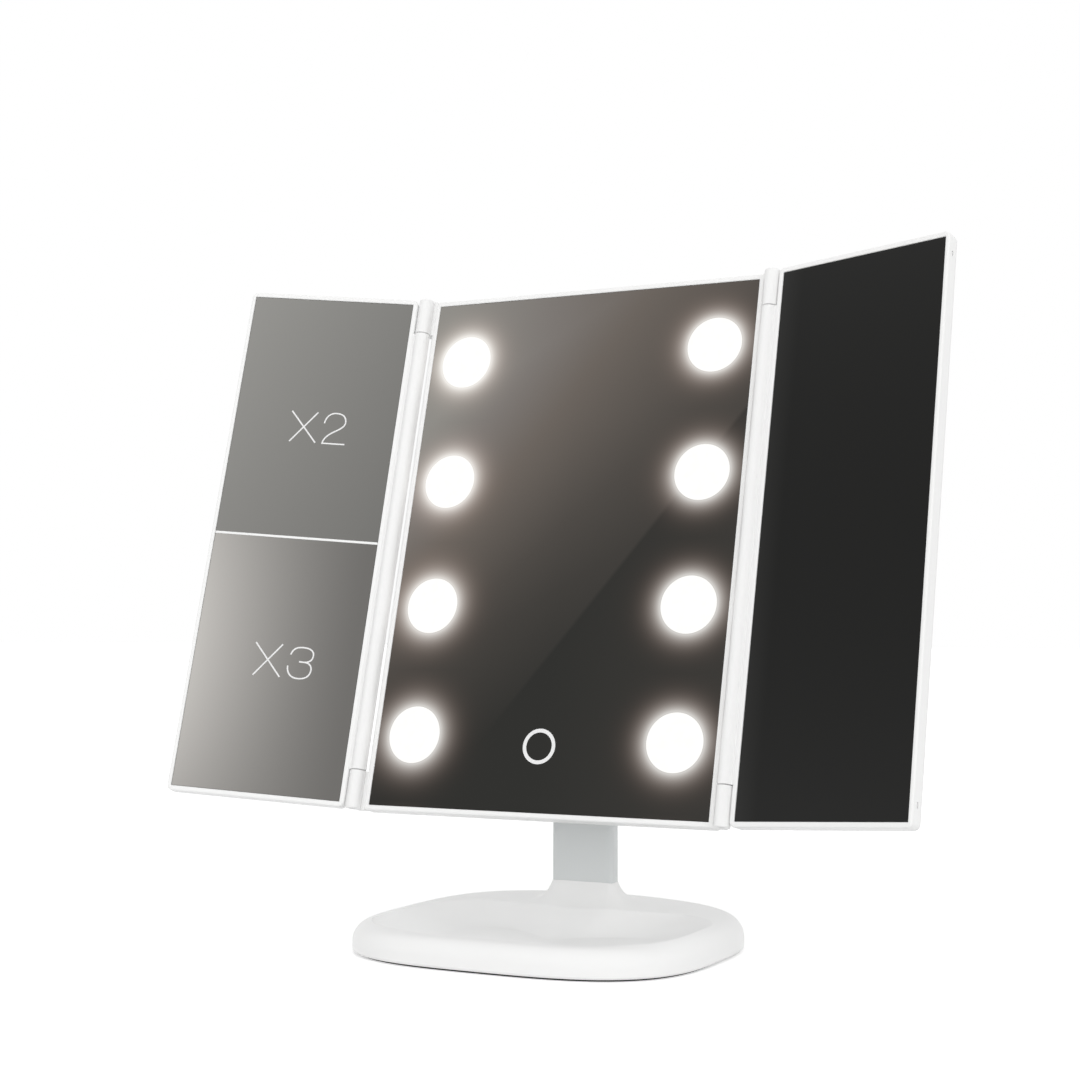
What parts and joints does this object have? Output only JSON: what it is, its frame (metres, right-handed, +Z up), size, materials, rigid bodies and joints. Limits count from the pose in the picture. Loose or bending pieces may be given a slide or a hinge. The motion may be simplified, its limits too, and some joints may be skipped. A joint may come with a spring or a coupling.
{
  "type": "trifold vanity mirror",
  "caption": "Lit folding vanity mirror: a centre panel with round lamp windows and a touch ring, two hinged wings, a tilting joint, a flat stem and a tray base.",
  "frame": {"origin": "on the surface that the mirror stands on, at the middle of the base's footprint", "axes": "+Z up, +X to the right of someone who looks into the mirror, +Y away from them, -Z out of the rubber ring that the base stands on"},
  "size_m": [0.3297, 0.1302, 0.2876],
  "materials": {
    "white_gloss": "glossy white ABS, smooth moulded edges",
    "white_back": "satin white ABS with a fine moulded grain",
    "stem_grey": "satin cool light grey ABS",
    "rubber": "matt black non-slip rubber",
    "foam": "matt black foam tape and fibre washers",
    "steel": "zinc plated steel",
    "two_way_mirror": "half-silvered glass, dark smoky reflection",
    "right_mirror": "silvered glass reflecting a dark room",
    "upper_mirror": "silvered magnifying glass, soft grey reflection",
    "lower_mirror": "silvered magnifying glass, soft grey reflection",
    "lamp_window": "opal diffuser, lit",
    "led": "phosphor coated lamp chip",
    "print": "thin printed ink",
    "circuit_board": "green solder mask",
    "copper": "bare copper pad",
    "black_plastic": "black switch body",
    "ribbon": "flat ribbon lead",
    "cell_wrap": "plain plastic wrap on a dry cell"
  },
  "bodies": {
    "stand": {"base_tray": "white_gloss", "base_bottom_cover": "white_back", "foot_ring": "rubber", "ballast_bar": "steel", "base_screws": "steel", "stem": "stem_grey", "stem_screws": "steel"},
    "head": {"centre_frame": "white_gloss", "centre_glass": "two_way_mirror", "centre_glass_tape": "foam", "reflector_cups": "white_back", "led_board_left": "circuit_board", "led_board_right": "circuit_board", "led_chips": "led", "touch_ring": "print", "touch_sensor": "copper", "control_board": "circuit_board", "board_screws": "steel", "usb_socket": "steel", "slide_switch": "black_plastic", "wire_harness": "ribbon", "rear_housing": "white_back", "housing_screws": "steel", "battery_contacts": "steel", "tilt_ear_left": "white_back", "tilt_ear_right": "white_back", "ear_screws": "steel", "tilt_shaft": "steel", "shaft_nut": "steel", "friction_washers": "foam", "hinge_pins": "steel", "battery_1": "cell_wrap", "battery_2": "cell_wrap", "battery_3": "cell_wrap", "battery_4": "cell_wrap", "diffuser_1": "lamp_window", "diffuser_2": "lamp_window", "diffuser_3": "lamp_window", "diffuser_4": "lamp_window", "diffuser_5": "lamp_window", "diffuser_6": "lamp_window", "diffuser_7": "lamp_window", "diffuser_8": "lamp_window"},
    "left_wing": {"left_wing_frame": "white_gloss", "left_wing_cover": "white_back", "left_wing_tape": "foam", "upper_left_glass": "upper_mirror", "lower_left_glass": "lower_mirror", "glass_divider": "white_gloss", "magnification_marks": "print"},
    "right_wing": {"right_wing_frame": "white_gloss", "right_wing_cover": "white_back", "right_wing_tape": "foam", "right_glass": "right_mirror"},
    "switch": {"switch_knob": "white_back"},
    "door": {"battery_door": "white_back"}
  },
  "joints": [
    {"name": "head_tilt", "type": "hinge", "parent": "stand", "child": "head", "pos_m": [0, 0.03448, 0.16188], "axis": [-1, 0, 0], "range_deg": [-15, 75]},
    {"name": "left_wing_hinge", "type": "hinge", "parent": "head", "child": "left_wing", "pos_m": [-0.08343, 0.01104, 0.16819], "axis": [0, 0.26, 0.9656], "range_deg": [-17.5, 162.5]},
    {"name": "right_wing_hinge", "type": "hinge", "parent": "head", "child": "right_wing", "pos_m": [0.08343, 0.01104, 0.16819], "axis": [0, -0.26, -0.9656], "range_deg": [-14.5, 165.5]},
    {"name": "power_switch", "type": "slide", "parent": "head", "child": "switch", "axis": [1, 0, 0], "range_m": [0, 0.003]},
    {"name": "battery_door_hinge", "type": "hinge", "parent": "head", "child": "door", "pos_m": [0, 0.03924, 0.20166], "axis": [-1, 0, 0], "range_deg": [0, 100]}
  ]
}
